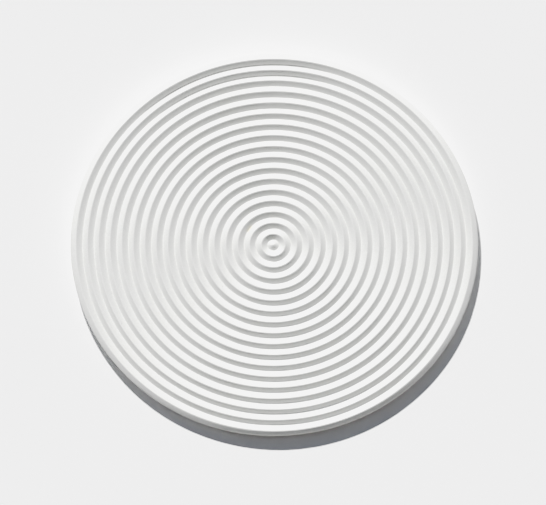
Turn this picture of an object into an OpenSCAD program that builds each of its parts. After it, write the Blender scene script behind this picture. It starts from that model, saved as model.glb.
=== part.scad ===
// Round plaster mold for pressing or slumping a rippled plate.
// It lies flat on its back, with the rippled working face up.
// The origin is at the centre of the flat back and +Z points out of the face.
// All sizes are in millimetres.

/* [Ripple] */
// Distance from one ridge to the next, measured along a radius
pitch = 10; // [8:0.5:14]
// Number of ridges round the centre dome
ridges = 17; // [8:1:20]
// Height of a ridge above the groove beside it
ridge_h = 4; // [2.5:0.1:5]
// Width of the narrow land on top of each ridge
crest_land = 0.5; // [0.2:0.1:1]
// Width of the narrow land at the bottom of each groove
groove_land = 0.4; // [0.2:0.1:1]
// How much lower than the ridges the centre dome is
dome_drop = 0.5; // [0:0.1:1]

/* [Body] */
// Thickness from the back to the bottom of the grooves
base_t = 10; // [9.5:0.5:20]
// Thickness of the backing coat, the second pour
backing_t = 6; // [5.5:0.1:6.5]
// Scraped bevel round the edge of the back
back_bevel = 1.5; // [0.5:0.1:2.5]
// Small bevel where the outermost slope meets the side wall
rim_bevel = 0.4; // [0.2:0.1:0.8]

/* [Reinforcement] */
// Thickness of the jute scrim
scrim_t = 0.8; // [0.5:0.1:1.2]
// Distance from the rim to the edge of the scrim
scrim_inset = 12; // [8:1:25]
// Diameter of the galvanised wire
wire_d = 2; // [1.5:0.1:2.5]
// Distance from the rim to the middle of the wire
wire_inset = 22; // [15:1:35]
// Height of the middle of the wire above the back
wire_z = 3; // [2.5:0.1:3.8]

/* [Hidden] */
// Facets of every turned surface
$fn = 180;
// The rim stands at the outer foot of the last ridge
outer_r = (ridges + 0.5) * pitch;
// Height of the ridge tops
crest_z = base_t + ridge_h;
scrim_r = outer_r - scrim_inset;
hoop_r = outer_r - wire_inset;

// Half of the section of the centre dome, from its top to the first groove
function dome_points() = let (
    r0 = pitch / 2 - groove_land / 2,
    top = crest_z - dome_drop
  ) [
    [0, top],
    [0.16 * r0, top - 0.03 * ridge_h],
    [0.34 * r0, top - 0.15 * ridge_h],
    [0.52 * r0, top - 0.34 * ridge_h],
    [r0, base_t]
  ];

// Section of ridge i, from the groove inside it to the groove outside it
function ridge_points(i) = let (c = i * pitch) [
    [c - pitch / 2 + groove_land / 2, base_t],
    [c - crest_land / 2, crest_z],
    [c + crest_land / 2, crest_z],
    [c + pitch / 2 - (i < ridges ? groove_land / 2 : rim_bevel), base_t]
  ];

// The second pour: a flat slab with a scraped edge at the back
module backing_coat() {
  color([0.86, 0.855, 0.84])
    difference() {
      rotate_extrude()
        polygon([
          [0, 0],
          [outer_r - back_bevel, 0],
          [outer_r, back_bevel],
          [outer_r, backing_t],
          [0, backing_t]
        ]);
      hoop_shape();
    }
}

// The first pour, with the ripple on its face and the scrim's bed in its back
module face_coat() {
  color([0.93, 0.93, 0.92])
    rotate_extrude()
      polygon(concat(
        [[0, backing_t + scrim_t]],
        dome_points(),
        [for (i = [1:ridges]) each ridge_points(i)],
        [
          [outer_r, base_t - rim_bevel],
          [outer_r, backing_t],
          [scrim_r, backing_t],
          [scrim_r, backing_t + scrim_t]
        ]
      ));
}

// One disc of open jute cloth between the two pours
module scrim() {
  color([0.68, 0.56, 0.38])
    translate([0, 0, backing_t])
      cylinder(h = scrim_t, r = scrim_r);
}

// The ring that the wire fills inside the backing coat
module hoop_shape() {
  rotate_extrude()
    translate([hoop_r, wire_z])
      circle(d = wire_d, $fn = 24);
}

// A closed ring of galvanised wire near the rim
module wire_hoop() {
  color([0.62, 0.64, 0.66])
    hoop_shape();
}

face_coat();
backing_coat();
scrim();
wire_hoop();
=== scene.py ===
import math

import bpy
import numpy as np
from mathutils import Matrix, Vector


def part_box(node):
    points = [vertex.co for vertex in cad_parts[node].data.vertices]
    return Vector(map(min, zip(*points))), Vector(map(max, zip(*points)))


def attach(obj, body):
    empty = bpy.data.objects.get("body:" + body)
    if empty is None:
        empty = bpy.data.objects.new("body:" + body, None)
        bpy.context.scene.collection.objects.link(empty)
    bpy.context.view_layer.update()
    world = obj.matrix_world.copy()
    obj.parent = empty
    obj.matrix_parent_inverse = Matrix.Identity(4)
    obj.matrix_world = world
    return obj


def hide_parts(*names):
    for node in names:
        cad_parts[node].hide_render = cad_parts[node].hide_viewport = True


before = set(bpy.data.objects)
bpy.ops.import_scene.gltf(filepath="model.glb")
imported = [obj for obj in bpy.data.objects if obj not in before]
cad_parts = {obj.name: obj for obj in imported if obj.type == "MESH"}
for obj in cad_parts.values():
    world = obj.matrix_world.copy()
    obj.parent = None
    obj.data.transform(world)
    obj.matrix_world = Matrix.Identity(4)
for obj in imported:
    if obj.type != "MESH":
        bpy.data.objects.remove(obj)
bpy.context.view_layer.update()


# ---------------------------------------------------------------- sizes, mm
PITCH, RIDGES, RIDGE_H, BASE_T = 10.0, 17, 4.0, 10.0
BACKING_T, SCRIM_T = 6.0, 0.8
DOME_DROP = 0.5
OUTER_R = (RIDGES + 0.5) * PITCH
CREST_Z = BASE_T + RIDGE_H
SCRIM_R = OUTER_R - 12.0
HOOP_R, HOOP_Z, WIRE_R = OUTER_R - 22.0, 3.0, 1.0
BACK_BEVEL, RIM_BEVEL = 1.5, 0.4

lo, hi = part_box("face_coat")
assert abs(hi.x - OUTER_R / 1000) < 2e-4 and abs(hi.z - CREST_Z / 1000) < 2e-4
assert abs(lo.z - BACKING_T / 1000) < 2e-4


# ---------------------------------------------------------------- noise
def hashed(ix, iy, iz, seed):
    """A fixed pseudo-random number in 0..1 for each lattice point."""
    h = (
        ix.astype(np.int64) * 374761393
        + iy.astype(np.int64) * 668265263
        + iz.astype(np.int64) * 1440662683
        + seed * 1274126177
    ) & 0xFFFFFFFF
    h = ((h ^ (h >> 13)) * 1274126177) & 0xFFFFFFFF
    h = ((h ^ (h >> 16)) * 2246822519) & 0xFFFFFFFF
    return ((h ^ (h >> 15)) & 0xFFFFFF) / float(0xFFFFFF)


def vnoise(p, size, seed):
    """Smooth value noise in -1..1 with features of about this size, at points p (n, 3)."""
    q = p / size
    i = np.floor(q).astype(np.int64)
    f = q - i
    f = f * f * f * (f * (f * 6 - 15) + 10)
    out = 0
    for dx in (0, 1):
        for dy in (0, 1):
            for dz in (0, 1):
                w = (
                    (f[:, 0] if dx else 1 - f[:, 0])
                    * (f[:, 1] if dy else 1 - f[:, 1])
                    * (f[:, 2] if dz else 1 - f[:, 2])
                )
                out = out + w * hashed(i[:, 0] + dx, i[:, 1] + dy, i[:, 2] + dz, seed)
    return out * 2 - 1


def fbm(p, size, seed, octaves=3):
    total, amp, norm = 0, 1.0, 0
    for k in range(octaves):
        total = total + amp * vnoise(p, size / 2**k, seed + 17 * k)
        norm += amp
        amp *= 0.5
    return total / norm


def smooth(a, b, x):
    t = np.clip((x - a) / (b - a), 0, 1)
    return t * t * (3 - 2 * t)


def wrap(a):
    """Angles in degrees brought to -180..180."""
    return (a + 180) % 360 - 180


# ---------------------------------------------------------------- the section of the face
# One flank, from the crest (t = 0) to the groove (t = PITCH / 2), with a
# softened crest and groove. It is integrated once and then looked up.
_t = np.linspace(0, PITCH / 2, 1001)
_slope = np.tanh(_t / 0.38) * np.tanh((PITCH / 2 - _t) / 0.22)
_drop = np.concatenate([[0], np.cumsum((_slope[1:] + _slope[:-1]) / 2)])
_drop /= _drop[-1]
_ls = np.tanh(_t / 0.35) * (0.75 + 0.1 * _t)
_last = np.concatenate([[0], np.cumsum((_ls[1:] + _ls[:-1]) / 2)])
_last /= _last[-1]
# The dome's flank is rounder at the top.
_ds = np.tanh(_t / 0.95) * np.tanh((PITCH / 2 - _t) / 0.25)
_dd = np.concatenate([[0], np.cumsum((_ds[1:] + _ds[:-1]) / 2)])
_dd /= _dd[-1]


def spacing(r):
    """How far outward the ridges and grooves near radius r stand from an even spacing."""
    crest = np.interp(r, [0, 20, 50, 65, 110, 130, 142, 150, 160, 170], [0, 0.37, 0.76, 0.77, 0.54, 0.56, 0.72, 0.67, 0.23, 0.18])
    groove = np.interp(r, [0, 15, 55, 65, 125, 145, 155, 165], [0, 0.20, 0.32, 0.28, -0.02, 0.06, -0.26, -0.40])
    near = np.abs(r / PITCH - np.round(r / PITCH)) * 2
    return (crest * (1 - near) + groove * near) * (1 - smooth(RIDGES * PITCH, OUTER_R - 1, r))


def face_height(r):
    """Height of the ideal face at radius r."""
    n = np.round(r / PITCH)
    t = np.abs(r - n * PITCH)
    ridge = CREST_Z - RIDGE_H * np.interp(t, _t, _drop)
    top = CREST_Z - DOME_DROP
    dome = top - (top - BASE_T) * np.interp(t, _t, _dd)
    # The slope outside the last ridge has no groove below it, and bulges a little.
    last = CREST_Z - RIDGE_H * np.interp(r - RIDGES * PITCH, _t, _last)
    z = np.where(n < 0.5, dome, ridge)
    return np.where(r > RIDGES * PITCH, last, z)


RNG = np.random.default_rng(20250)
# Nicks on the ridge tops: radius, azimuth (degrees), length, depth
NICKS = [
    (
        PITCH * RNG.integers(4, RIDGES + 1),
        RNG.uniform(0, 360),
        RNG.uniform(1.2, 3.2),
        RNG.uniform(0.10, 0.32),
    )
    for _ in range(26)
]
# Nicks on the rim's top edge and the back's edge: azimuth, length, depth
RIM_NICKS = [
    (RNG.uniform(0, 360), RNG.uniform(1.5, 4.5), RNG.uniform(0.12, 0.45))
    for _ in range(16)
]
BACK_NICKS = [
    (RNG.uniform(0, 360), RNG.uniform(2.0, 7.0), RNG.uniform(0.3, 0.9))
    for _ in range(18)
]
# Arcs where the groove is cut a little deeper and a line of painted shade is laid along it:
# radius, azimuth in the middle, half width, depth
CREASES = [
    (165.0, 103.0, 36.0, 0.42), (155.0, 101.0, 34.0, 0.37), (145.0, 114.0, 24.0, 0.11),
    (135.0, 102.0, 26.0, 0.08), (125.0, 100.0, 28.0, 0.14),
]
STAIN = (25.3, 144.0)  # radius and azimuth of a yellowed patch in a groove


def crease(r, az):
    out = 0
    for cr, ca, half, deep in CREASES:
        along = 1 - smooth(half * 0.55, half, np.abs(wrap(az - ca)))
        across = np.clip(1 - np.abs(r - cr) / 0.5, 0, 1)
        out = np.maximum(out, deep * along * across)
    return out


# ---------------------------------------------------------------- turned meshes
def turned(name, rings, closed_start=True, closed_end=True, hole=None):
    """A mesh from rings (n, points (n, 3)), each joined to the next. n may double or halve
    from one ring to the next. The first and last are closed with a fan to their middle."""
    verts, faces, start = [], [], []
    count = 0
    for n, pts in rings:
        start.append(count)
        verts.append(pts)
        count += len(pts)
    for (na, a), (nb, b), sa, sb in zip(rings, rings[1:], start, start[1:]):
        if na == 1:
            j = np.arange(nb)
            tri = np.stack([np.full(nb, sa), sb + j, sb + (j + 1) % nb], 1)
            faces.append(tri)
        elif nb == 1:
            j = np.arange(na)
            tri = np.stack([sa + j, np.full(na, sb), sa + (j + 1) % na], 1)
            faces.append(tri)
        elif na == nb:
            j = np.arange(na)
            k = (j + 1) % na
            faces.append(np.stack([sa + j, sb + j, sb + k, sa + k], 1))
        elif nb == 2 * na:
            j = np.arange(na)
            k = (j + 1) % na
            b0, b1, b2 = sb + 2 * j, sb + 2 * j + 1, sb + (2 * j + 2) % nb
            faces.append(np.stack([sa + j, b0, b1], 1))
            faces.append(np.stack([sa + j, b1, sa + k], 1))
            faces.append(np.stack([sa + k, b1, b2], 1))
        elif na == 2 * nb:
            j = np.arange(nb)
            k = (j + 1) % nb
            a0, a1, a2 = sa + 2 * j, sa + 2 * j + 1, sa + (2 * j + 2) % na
            faces.append(np.stack([a0, sb + j, a1], 1))
            faces.append(np.stack([a1, sb + j, sb + k], 1))
            faces.append(np.stack([a1, sb + k, a2], 1))
        else:
            raise ValueError((na, nb))
    return make_mesh(name, np.concatenate(verts), faces)


def make_mesh(name, verts_mm, faces, flip=False):
    mesh = bpy.data.meshes.new(name)
    co = np.asarray(verts_mm, np.float64) / 1000
    loops = np.concatenate([(f[:, ::-1] if flip else f).reshape(-1) for f in faces])
    sizes = np.concatenate([np.full(len(f), f.shape[1]) for f in faces])
    mesh.vertices.add(len(co))
    mesh.vertices.foreach_set("co", co.astype(np.float32).reshape(-1))
    mesh.loops.add(len(loops))
    mesh.loops.foreach_set("vertex_index", loops.astype(np.int32))
    mesh.polygons.add(len(sizes))
    first = np.concatenate([[0], np.cumsum(sizes)[:-1]])
    mesh.polygons.foreach_set("loop_start", first.astype(np.int32))
    mesh.polygons.foreach_set("use_smooth", np.ones(len(sizes), bool))
    mesh.update(calc_edges=True)
    mesh.validate()
    return mesh


def polar(n, r, z=0.0):
    a = np.arange(n) * (2 * math.pi / n)
    r = np.broadcast_to(np.asarray(r, float), (n,))
    z = np.broadcast_to(np.asarray(z, float), (n,))
    return np.stack([r * np.cos(a), r * np.sin(a), z], 1)


def azimuths(n):
    return np.arange(n) * (360.0 / n)


SEG = 640


def segments(r):
    """How many points a ring at radius r has."""
    for edge, n in ((9.0, 40), (20.0, 80), (41.0, 160), (87.0, 320)):
        if r < edge:
            return n
    return SEG


def add_object(name, mesh, body="root"):
    o = bpy.data.objects.new(name, mesh)
    bpy.context.scene.collection.objects.link(o)
    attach(o, body)
    return o


def float_attribute(mesh, name, values):
    a = mesh.attributes.new(name, "FLOAT", "POINT")
    a.data.foreach_set("value", np.asarray(values, np.float32))


# ---------------------------------------------------------------- the wall, shared by both coats
WALL_SEAM = 232.0  # azimuth where the ends of the casting band met


def wall_radius(n, z, az=None):
    """Radius of the side wall at height z: the band isn't perfectly round, and its ends leave a step."""
    az = azimuths(n) if az is None else az
    a = np.radians(az)
    p = np.stack([OUTER_R * np.cos(a), OUTER_R * np.sin(a), np.full(n, z)], 1)
    r = OUTER_R - 0.16 + 0.10 * fbm(p, 70.0, 5, 2) + 0.03 * fbm(p, 7.0, 9, 2)
    d = wrap(az - WALL_SEAM)
    r = r + 0.14 * (smooth(-0.35, 0.0, d) - smooth(0.0, 9.0, d))
    return r


def rim_nick(az):
    out = 0
    for a, length, deep in RIM_NICKS:
        d = np.abs(wrap(az - a)) * math.pi / 180 * OUTER_R
        out = np.maximum(out, deep * (1 - smooth(0.25 * length, 0.6 * length, d)))
    return out


def back_nick(az):
    out = 0
    for a, length, deep in BACK_NICKS:
        d = np.abs(wrap(az - a)) * math.pi / 180 * OUTER_R
        out = np.maximum(out, deep * (1 - smooth(0.2 * length, 0.6 * length, d)))
    return out


# ---------------------------------------------------------------- face coat
def face_points(n, r):
    pts = polar(n, r + float(spacing(r)))
    az = azimuths(n)
    flat = pts.copy()
    shift = 0.07 * fbm(flat, 55.0, 101, 2) * smooth(3, 12, r)
    z = face_height(np.maximum(r - shift, 0))
    near = np.abs((r + PITCH / 2) % PITCH - PITCH / 2)  # distance to the nearest crest
    top = np.clip(1 - near / 0.9, 0, 1)
    # Where hands and clay have rubbed them, the crests are a little lower.
    worn = smooth(0.05, 0.75, fbm(flat, 22.0, 55, 3))
    z = z - 0.13 * worn * top
    z = z + 0.035 * fbm(flat, 40.0, 77, 3) + 0.012 * vnoise(flat, 2.4, 33)
    z = z - crease(r, az)
    for nr, na, length, deep in NICKS:
        if abs(nr - r) < 1.3:
            d = np.abs(wrap(az - na)) * math.pi / 180 * r
            z = z - deep * (1 - smooth(0.3 * length, 0.7 * length, d)) * max(0, 1 - abs(nr - r) / 1.2)
    pts[:, 2] = np.minimum(z, CREST_Z)
    return pts


def build_face():
    rings = [(1, np.array([[0, 0, float(face_height(np.array([0.0]))[0])]]))]
    radii = [0.45, 0.9, 1.4, 2.1, 3.1, 4.1, 4.65, 5.0]
    steps = [0.3, 0.75, 1.4, 2.8, 4.1, 4.6, 5.0, 5.4, 5.9, 7.3, 8.6, 9.25, 9.7, 10.0]
    for i in range(RIDGES):
        radii += [PITCH * (i + 0.5) + s for s in steps]
    rim = OUTER_R - 0.16
    radii = [r for r in radii if r < OUTER_R - 0.8]
    for r in radii:
        n = segments(r)
        rings.append((n, face_points(n, r)))
    az = azimuths(SEG)
    nick = rim_nick(az)
    # The last slope runs to the rim's small bevel, and the wall drops from there.
    for inward, below in ((0.62, None), (0.30, 0.06), (0.10, 0.24), (0.0, 0.52)):
        r = wall_radius(SEG, BASE_T) - inward - nick * (0.9 if below is None or below < 0.2 else 0.55)
        if below is None:
            z = face_height(r) - 0.3 * nick
        else:
            z = BASE_T + 0.02 - below - 0.5 * nick
        pts = polar(SEG, r, z)
        pts[:, 2] += 0.01 * vnoise(pts, 2.0, 8)
        rings.append((SEG, pts))
    for z in (9.1, 8.5, 7.9, 7.3, 6.8, 6.35):
        rings.append((SEG, polar(SEG, wall_radius(SEG, z), z)))
    rings.append((SEG, polar(SEG, wall_radius(SEG, 6.12) - 0.06, BACKING_T + 0.10)))
    rings.append((SEG, polar(SEG, wall_radius(SEG, 6.0) - 0.22, BACKING_T)))
    # The flat underside, with the scrim's bed in it.
    rings.append((SEG, polar(SEG, SCRIM_R + 4.0, BACKING_T)))
    rings.append((SEG, polar(SEG, SCRIM_R, BACKING_T)))
    rings.append((SEG, polar(SEG, SCRIM_R, BACKING_T + SCRIM_T)))
    n = SEG
    for r in (150.0, 120.0, 80.0, 45.0, 20.0):
        n //= 2
        rings.append((n, polar(n, r, BACKING_T + SCRIM_T)))
    rings.append((1, np.array([[0, 0, BACKING_T + SCRIM_T]])))
    return turned("face_coat_cast", rings)


# ---------------------------------------------------------------- backing coat
def back_points(n, r):
    """The screeded back: long faint drag lines one way, with everything at or above z = 0."""
    pts = polar(n, r)
    u = pts.copy()
    a = math.radians(24)
    along = u[:, 0] * math.cos(a) + u[:, 1] * math.sin(a)
    across = -u[:, 0] * math.sin(a) + u[:, 1] * math.cos(a)
    q = np.stack([along / 9.0, across, np.zeros(n)], 1)
    drag = 0.5 + 0.5 * fbm(q, 9.0, 301, 3)
    lumps = 0.5 + 0.5 * fbm(u, 45.0, 302, 3)
    pts[:, 2] = np.maximum(0, 0.16 * drag + 0.14 * lumps - 0.10)
    return pts


def build_backing():
    rings = [(1, np.array([[0, 0, 0.02]]))]
    r = 2.5
    while r < OUTER_R - BACK_BEVEL - 1.6:
        n = segments(r)
        rings.append((n, back_points(n, r)))
        r += 3.0
    az = azimuths(SEG)
    nick = back_nick(az)
    a = np.radians(az)
    p = np.stack([OUTER_R * np.cos(a), OUTER_R * np.sin(a), np.zeros(SEG)], 1)
    # The edge of the back is scraped by hand, so its width varies.
    width = BACK_BEVEL + 0.35 * fbm(p, 26.0, 61, 3)
    edge = wall_radius(SEG, 0.0)
    for k, (inward, up) in enumerate(
        ((1.55, 0.0), (1.0, 0.0), (0.86, 0.09), (0.5, 0.42), (0.16, 0.80), (0.0, 1.0))
    ):
        rr = edge - width * inward - nick * (1.0 if k < 4 else 0.6)
        zz = width * up * 0.95 + (nick * 0.5 if k > 1 else 0)
        rings.append((SEG, polar(SEG, rr, np.maximum(zz, 0.0))))
    base = rings[-1][1][:, 2]
    for f in (0.18, 0.38, 0.58, 0.78, 0.93):
        z = base + (BACKING_T - 0.14 - base) * f
        rings.append((SEG, polar(SEG, wall_radius(SEG, 3.5) - nick * 0.5 * max(0, 0.5 - f), z)))
    rings.append((SEG, polar(SEG, wall_radius(SEG, 5.9) - 0.05, BACKING_T - 0.10)))
    rings.append((SEG, polar(SEG, wall_radius(SEG, 6.0) - 0.22, BACKING_T)))
    n = SEG
    rings.append((SEG, polar(SEG, SCRIM_R, BACKING_T)))
    for r in (150.0, 120.0, 80.0, 45.0, 20.0):
        n //= 2
        rings.append((n, polar(n, r, BACKING_T)))
    rings.append((1, np.array([[0, 0, BACKING_T]])))
    # This runs from the back to the top, the other way round from the face coat.
    rings.reverse()
    outer = turned("tmp_outer", rings)
    return outer


def torus(n, m, ring_r, z, wire_r, wobble=0.0):
    a = np.arange(n) * (2 * math.pi / n)
    b = np.arange(m) * (2 * math.pi / m)
    aa, bb = np.meshgrid(a, b, indexing="ij")
    rr = ring_r + wire_r * np.cos(bb)
    pts = np.stack([rr * np.cos(aa), rr * np.sin(aa), z + wire_r * np.sin(bb)], 2).reshape(-1, 3)
    i, j = np.meshgrid(np.arange(n), np.arange(m), indexing="ij")
    i2, j2 = (i + 1) % n, (j + 1) % m
    f = np.stack([i * m + j, i2 * m + j, i2 * m + j2, i * m + j2], 2).reshape(-1, 4)
    return pts, f


def join_cavity(mesh, pts, faces):
    """Adds an inner shell, facing into the cavity, to a closed mesh."""
    nv = len(mesh.vertices)
    co = np.empty(nv * 3, np.float32)
    mesh.vertices.foreach_get("co", co)
    old = [tuple(p.vertices) for p in mesh.polygons]
    tri = np.array([f for f in old if len(f) == 3])
    quad = np.array([f for f in old if len(f) == 4])
    verts = np.concatenate([co.reshape(-1, 3) * 1000.0, pts])
    return make_mesh("backing_coat_cast", verts, [tri, quad, faces[:, ::-1] + nv])


# ---------------------------------------------------------------- materials
class Graph:
    """A small helper for building a node tree."""

    def __init__(self, name):
        self.m = bpy.data.materials.new(name)
        self.m.use_nodes = True
        self.t = self.m.node_tree
        self.t.nodes.clear()
        self.out = self.add("ShaderNodeOutputMaterial")
        self.bsdf = self.add("ShaderNodeBsdfPrincipled")
        self.link(self.bsdf.outputs[0], self.out.inputs["Surface"])
        self.co = self.add("ShaderNodeTexCoord").outputs["Object"]

    def add(self, kind, **props):
        n = self.t.nodes.new(kind)
        for k, v in props.items():
            setattr(n, k, v)
        return n

    def link(self, a, b):
        self.t.links.new(a, b)

    def put(self, socket, value):
        if isinstance(value, (int, float, tuple, list)):
            socket.default_value = value
        else:
            self.link(value, socket)

    def noise(self, scale, detail=3.0, rough=0.55, vector=None, distortion=0.0):
        n = self.add("ShaderNodeTexNoise")
        self.link(vector if vector is not None else self.co, n.inputs["Vector"])
        n.inputs["Scale"].default_value = scale
        n.inputs["Detail"].default_value = detail
        n.inputs["Roughness"].default_value = rough
        n.inputs["Distortion"].default_value = distortion
        return n.outputs["Fac"]

    def voronoi(self, scale, vector=None, feature="F1"):
        n = self.add("ShaderNodeTexVoronoi", feature=feature)
        self.link(vector if vector is not None else self.co, n.inputs["Vector"])
        n.inputs["Scale"].default_value = scale
        return n

    def range(self, value, a, b, c=0.0, d=1.0, smoothed=True):
        n = self.add("ShaderNodeMapRange", interpolation_type="SMOOTHSTEP" if smoothed else "LINEAR")
        self.put(n.inputs["Value"], value)
        n.inputs["From Min"].default_value = a
        n.inputs["From Max"].default_value = b
        n.inputs["To Min"].default_value = c
        n.inputs["To Max"].default_value = d
        return n.outputs["Result"]

    def math(self, op, a, b=0.0, clamp=False):
        n = self.add("ShaderNodeMath", operation=op, use_clamp=clamp)
        self.put(n.inputs[0], a)
        self.put(n.inputs[1], b)
        return n.outputs[0]

    def mix(self, fac, a, b, blend="MIX"):
        n = self.add("ShaderNodeMix", data_type="RGBA", blend_type=blend)
        self.put(n.inputs["Factor"], fac)
        self.put(n.inputs[6], a)
        self.put(n.inputs[7], b)
        return n.outputs[2]

    def bump(self, height, strength, distance, normal=None):
        n = self.add("ShaderNodeBump")
        n.inputs["Strength"].default_value = strength
        n.inputs["Distance"].default_value = distance
        self.link(height, n.inputs["Height"])
        if normal is not None:
            self.link(normal, n.inputs["Normal"])
        return n.outputs["Normal"]

    def attribute(self, name):
        return self.add("ShaderNodeAttribute", attribute_name=name, attribute_type="GEOMETRY").outputs["Fac"]


def rgb(r, g, b):
    return (r, g, b, 1.0)


def pits(g, scale, share, size):
    """Air pits: round dots in a share of the cells of a fine lattice, as a mask that is 1 in a pit."""
    v = g.voronoi(scale)
    inside = g.range(v.outputs["Distance"], size, size * 0.35, 0.0, 1.0)
    split = g.add("ShaderNodeSeparateColor")
    g.link(v.outputs["Color"], split.inputs[0])
    chosen = g.math("LESS_THAN", split.outputs[0], share)
    return g.math("MULTIPLY", inside, chosen)


def plaster_face():
    g = Graph("face_plaster_mat")
    cloud = g.noise(16.0, 4.0, 0.55)
    patch = g.noise(70.0, 4.0, 0.6)
    grain = g.noise(1400.0, 3.0, 0.65)
    speck = g.noise(520.0, 2.0, 0.5)
    col = g.mix(g.range(cloud, 0.36, 0.66), rgb(0.812, 0.816, 0.793), rgb(0.832, 0.837, 0.818))
    col = g.mix(g.range(patch, 0.50, 0.74, 0.0, 0.55), col, rgb(0.806, 0.806, 0.776))
    col = g.mix(g.range(grain, 0.42, 0.70, 0.0, 0.6), col, rgb(0.755, 0.756, 0.733))
    col = g.mix(g.range(speck, 0.58, 0.70, 0.0, 0.5), col, rgb(0.74, 0.735, 0.70))
    mottle = g.noise(650.0, 2.0, 0.5)
    col = g.mix(g.range(mottle, 0.36, 0.64, 0.0, 0.7), col, rgb(0.768, 0.769, 0.746))
    pit = pits(g, 230.0, 0.05, 0.16)
    # The pits are darkened in colour as well: painted shade inside them.
    col = g.mix(g.math("MULTIPLY", pit, 0.45), col, rgb(0.55, 0.54, 0.51))
    # painted shade in the creases, a dark line along each, and a yellowed patch
    # The crease attribute darkens the colour: painted shade in the deepened grooves.
    col = g.mix(g.attribute("crease"), col, rgb(0.10, 0.10, 0.095))
    col = g.mix(
        g.math("MULTIPLY", g.attribute("stain"), g.range(g.noise(160.0, 3.0, 0.6), 0.3, 0.62, 0.45, 1.0)),
        col,
        rgb(0.70, 0.62, 0.36),
    )
    g.link(col, g.bsdf.inputs["Base Color"])
    g.link(g.range(patch, 0.3, 0.75, 0.80, 0.93), g.bsdf.inputs["Roughness"])
    g.bsdf.inputs["Specular IOR Level"].default_value = 0.28
    n = g.bump(g.noise(430.0, 4.0, 0.65), 0.6, 0.00028)
    n = g.bump(grain, 0.6, 0.00010, n)
    n = g.bump(g.math("SUBTRACT", 1.0, pit), 0.8, 0.00035, n)
    g.link(n, g.bsdf.inputs["Normal"])
    return g.m


def plaster_back():
    g = Graph("backing_plaster_mat")
    cloud = g.noise(13.0, 5.0, 0.6)
    patch = g.noise(85.0, 4.0, 0.62)
    grain = g.noise(950.0, 3.0, 0.7)
    # drag lines from the straight edge, along one direction of the back
    turn = g.add("ShaderNodeMapping")
    g.link(g.co, turn.inputs["Vector"])
    turn.inputs["Rotation"].default_value = (0, 0, math.radians(-24))
    turn.inputs["Scale"].default_value = (7.0, 210.0, 90.0)
    drag = g.noise(1.0, 5.0, 0.65, vector=turn.outputs[0])
    col = g.mix(g.range(cloud, 0.34, 0.68), rgb(0.852, 0.846, 0.815), rgb(0.895, 0.892, 0.868))
    col = g.mix(g.range(patch, 0.46, 0.72, 0.0, 0.7), col, rgb(0.845, 0.832, 0.79))
    col = g.mix(g.range(grain, 0.45, 0.72, 0.0, 0.5), col, rgb(0.80, 0.79, 0.765))
    col = g.mix(g.range(drag, 0.50, 0.70, 0.0, 0.35), col, rgb(0.80, 0.79, 0.76))
    pit = pits(g, 150.0, 0.13, 0.2)
    # The pits are darkened in colour as well: painted shade inside them.
    col = g.mix(g.math("MULTIPLY", pit, 0.6), col, rgb(0.46, 0.44, 0.40))
    g.link(col, g.bsdf.inputs["Base Color"])
    g.link(g.range(patch, 0.3, 0.75, 0.86, 0.97), g.bsdf.inputs["Roughness"])
    g.bsdf.inputs["Specular IOR Level"].default_value = 0.25
    n = g.bump(drag, 0.55, 0.0005)
    n = g.bump(g.noise(300.0, 4.0, 0.62), 0.5, 0.0003, n)
    n = g.bump(grain, 0.6, 0.00012, n)
    n = g.bump(g.math("SUBTRACT", 1.0, pit), 0.9, 0.0007, n)
    g.link(n, g.bsdf.inputs["Normal"])
    return g.m


def jute():
    g = Graph("jute_scrim_mat")
    fibre = g.noise(900.0, 4.0, 0.7)
    tone = g.noise(60.0, 3.0, 0.6)
    col = g.mix(g.range(tone, 0.3, 0.7), rgb(0.42, 0.31, 0.17), rgb(0.60, 0.47, 0.29))
    col = g.mix(g.range(fibre, 0.4, 0.7, 0.0, 0.6), col, rgb(0.30, 0.21, 0.11))
    # plaster slip that has soaked in
    col = g.mix(g.range(g.noise(240.0, 4.0, 0.65), 0.48, 0.62, 0.0, 0.8), col, rgb(0.86, 0.85, 0.82))
    g.link(col, g.bsdf.inputs["Base Color"])
    g.link(g.range(fibre, 0.3, 0.7, 0.82, 0.98), g.bsdf.inputs["Roughness"])
    g.bsdf.inputs["Specular IOR Level"].default_value = 0.2
    g.link(g.bump(fibre, 0.7, 0.0002), g.bsdf.inputs["Normal"])
    return g.m


def galvanised():
    g = Graph("galvanised_wire_mat")
    spangle = g.voronoi(260.0)
    split = g.add("ShaderNodeSeparateColor")
    g.link(spangle.outputs["Color"], split.inputs[0])
    col = g.mix(split.outputs[0], rgb(0.50, 0.52, 0.54), rgb(0.68, 0.70, 0.72))
    col = g.mix(g.range(g.noise(120.0, 4.0, 0.6), 0.5, 0.7, 0.0, 0.7), col, rgb(0.80, 0.80, 0.78))
    g.link(col, g.bsdf.inputs["Base Color"])
    g.bsdf.inputs["Metallic"].default_value = 0.85
    g.link(g.range(split.outputs[1], 0.0, 1.0, 0.34, 0.58), g.bsdf.inputs["Roughness"])
    g.link(g.bump(g.noise(1500.0, 3.0, 0.6), 0.4, 0.00008), g.bsdf.inputs["Normal"])
    return g.m


def floor_mat():
    g = Graph("floor_mat")
    wide = g.noise(1.6, 2.0, 0.5)
    fine = g.noise(260.0, 3.0, 0.55)
    col = g.mix(g.range(wide, 0.3, 0.7), rgb(0.962, 0.962, 0.962), rgb(0.974, 0.974, 0.974))
    col = g.mix(g.range(fine, 0.45, 0.8, 0.0, 0.2), col, rgb(0.945, 0.945, 0.945))
    g.link(col, g.bsdf.inputs["Base Color"])
    g.bsdf.inputs["Roughness"].default_value = 0.9
    g.bsdf.inputs["Specular IOR Level"].default_value = 0.15
    return g.m


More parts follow.
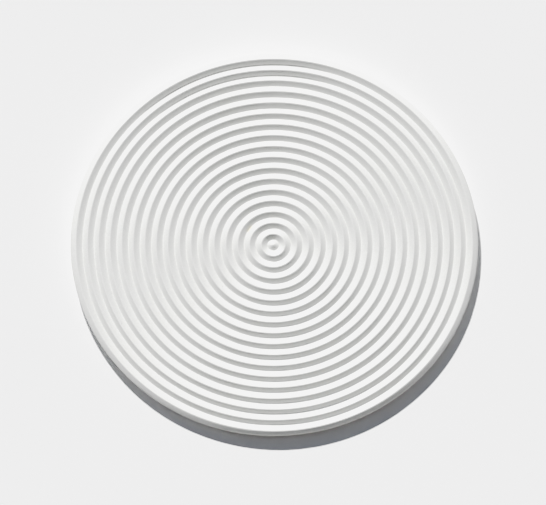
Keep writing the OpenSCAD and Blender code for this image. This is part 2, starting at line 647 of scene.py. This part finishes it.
# ---------------------------------------------------------------- build the pieces
face_mesh = build_face()
co = np.empty(len(face_mesh.vertices) * 3, np.float32)
face_mesh.vertices.foreach_get("co", co)
P = co.reshape(-1, 3).astype(float) * 1000
r_all = np.hypot(P[:, 0], P[:, 1])
az_all = np.degrees(np.arctan2(P[:, 1], P[:, 0]))
up = P[:, 2] > BASE_T - 1.0
# A dark line of painted shade along each crease, kept as the crease attribute of the face mesh.
painted_crease_shade = np.zeros(len(P))
for cr, ca, half, deep in CREASES:
    along = 1 - smooth(half * 0.5, half, np.abs(wrap(az_all - ca)))
    line = np.exp(-(((r_all - cr - spacing(cr) - 0.02) / 0.55) ** 2))
    painted_crease_shade = np.maximum(painted_crease_shade, line * along * deep / 0.42)
float_attribute(face_mesh, "crease", np.where(up, painted_crease_shade, 0))
sr, sa = STAIN
d_along = np.abs(wrap(az_all - sa)) * math.pi / 180 * sr
stain = (1 - smooth(1.0, 4.8, d_along)) * (1 - smooth(0.3, 2.1, np.abs(r_all - sr - spacing(sr))))
float_attribute(face_mesh, "stain", np.where(up, 0.8 * stain, 0))

face = add_object("face_coat_cast", face_mesh)
face.data.materials.append(plaster_face())
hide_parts("face_coat")

outer = build_backing()
cav_pts, cav_faces = torus(360, 16, HOOP_R, HOOP_Z, WIRE_R)
back_mesh = join_cavity(outer, cav_pts, cav_faces)
bpy.data.meshes.remove(outer)
back = add_object("backing_coat_cast", back_mesh)
back.data.materials.append(plaster_back())
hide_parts("backing_coat")


def dress(node, material):
    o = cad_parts[node]
    if not o.material_slots:
        o.data.materials.append(material)
    for s in o.material_slots:
        s.material = material


dress("scrim", jute())
dress("wire_hoop", galvanised())

# ---------------------------------------------------------------- floor
fm = bpy.data.meshes.new("floor")
S = 14.0
fm.from_pydata([(-S, -S, 0), (S, -S, 0), (S, S, 0), (-S, S, 0)], [], [(0, 1, 2, 3)])
floor = bpy.data.objects.new("floor", fm)
bpy.context.scene.collection.objects.link(floor)
floor.data.materials.append(floor_mat())
floor.location.z = -0.00002

# ---------------------------------------------------------------- camera
# The photograph looks straight down on the face, but its height is pressed to 0.938 of
# its width. A camera whose frame leans about the picture's upright gives the same
# proportions: the lean's row and column stay one unit long, and only their angle changes.
LEAN = math.radians(-20.3)
DIST = 12.0
ACROSS, UP = 1.1655e3, 1.093e3  # picture points per metre at the ridge tops
cam_data = bpy.data.cameras.new("camera")
cam_data.sensor_width = 36.0
cam_data.sensor_fit = "HORIZONTAL"
cam_data.lens = 36.0 * DIST * UP / 546
cam_data.clip_start = 0.1
cam_data.clip_end = 100.0
frame_axes = np.array(
    [[math.cos(LEAN), 0.0, 0.0], [0.0, 1.0, 0.0], [math.sin(LEAN), 0.0, 1.0]]
)
turn, press, back_turn = np.linalg.svd(frame_axes)
if np.linalg.det(turn) < 0:
    turn, back_turn = -turn, -back_turn
mount = bpy.data.objects.new("camera_mount", None)
cam = bpy.data.objects.new("camera", cam_data)
for o, m in ((mount, turn), (cam, back_turn)):
    bpy.context.scene.collection.objects.link(o)
    o.rotation_mode = "QUATERNION"
    o.rotation_quaternion = Matrix([[float(v) for v in row] for row in m]).to_quaternion()
mount.scale = [float(v) for v in press]
# Where the ring centre is in the picture, in points right of the middle and above it.
CENTRE_X, CENTRE_Y = 0.2, 7.57
mount.location = (-CENTRE_X / ACROSS, -CENTRE_Y / UP, CREST_Z / 1000 + DIST)
cam.parent = mount
bpy.context.scene.camera = cam

# ---------------------------------------------------------------- light
SUN_AZ, SUN_EL = math.radians(104.0), math.radians(37.6)
sun_data = bpy.data.lights.new("key", "SUN")
sun_data.energy = 6.0
sun_data.angle = math.radians(0.6)
sun_data.color = (1.0, 0.9946, 0.984)
sun = bpy.data.objects.new("key", sun_data)
bpy.context.scene.collection.objects.link(sun)
sun.rotation_euler = (math.pi / 2 - SUN_EL, 0.0, SUN_AZ + math.pi / 2)

# The brighter part of the soft light is on the sun's side, so a cast shadow is darkest by the rim.
glow_data = bpy.data.lights.new("glow", "SUN")
glow_data.energy = 0.24
glow_data.angle = math.radians(70)
glow_data.color = (0.80, 0.96, 1.25)
glow = bpy.data.objects.new("glow", glow_data)
bpy.context.scene.collection.objects.link(glow)
glow.rotation_euler = (math.radians(90 - 50), 0.0, SUN_AZ + math.pi / 2)

world = bpy.data.worlds.new("studio")
bpy.context.scene.world = world
world.use_nodes = True
wt = world.node_tree
wt.nodes.clear()
bg = wt.nodes.new("ShaderNodeBackground")
bg.inputs["Color"].default_value = (1.05, 0.96, 0.88, 1.0)
bg.inputs["Strength"].default_value = 0.026
seen = wt.nodes.new("ShaderNodeBackground")
seen.inputs["Color"].default_value = (0.86, 0.86, 0.86, 1.0)
seen.inputs["Strength"].default_value = 1.4
path = wt.nodes.new("ShaderNodeLightPath")
mixer = wt.nodes.new("ShaderNodeMixShader")
wout = wt.nodes.new("ShaderNodeOutputWorld")
wt.links.new(path.outputs["Is Camera Ray"], mixer.inputs[0])
wt.links.new(bg.outputs[0], mixer.inputs[1])
wt.links.new(seen.outputs[0], mixer.inputs[2])
wt.links.new(mixer.outputs[0], wout.inputs["Surface"])

# ---------------------------------------------------------------- tone
vs = bpy.context.scene.view_settings
vs.view_transform = "Standard"
vs.look = "None"
vs.exposure = 0.0
vs.gamma = 1.0
# A soft shoulder, as a camera gives: bright plaster keeps its shading and shade is lifted.
WHITE = 2.4
TONE = [
    (0.0, 0.0), (0.07, 0.148), (0.14, 0.273), (0.24, 0.41), (0.38, 0.527), (0.56, 0.603),
    (0.75, 0.678), (1.0, 0.771), (1.3, 0.88), (1.8, 0.915), (2.4, 0.935),
]
vs.use_curve_mapping = True
cm = vs.curve_mapping
cm.white_level = (WHITE, WHITE, WHITE)
cm.extend = "HORIZONTAL"
main = cm.curves[3]
while len(main.points) > 2:
    main.points.remove(main.points[1])
main.points[0].location = (0.0, 0.0)
main.points[1].location = (1.0, TONE[-1][1])
for x, y in TONE[1:-1]:
    main.points.new(x / WHITE, y)
cm.update()
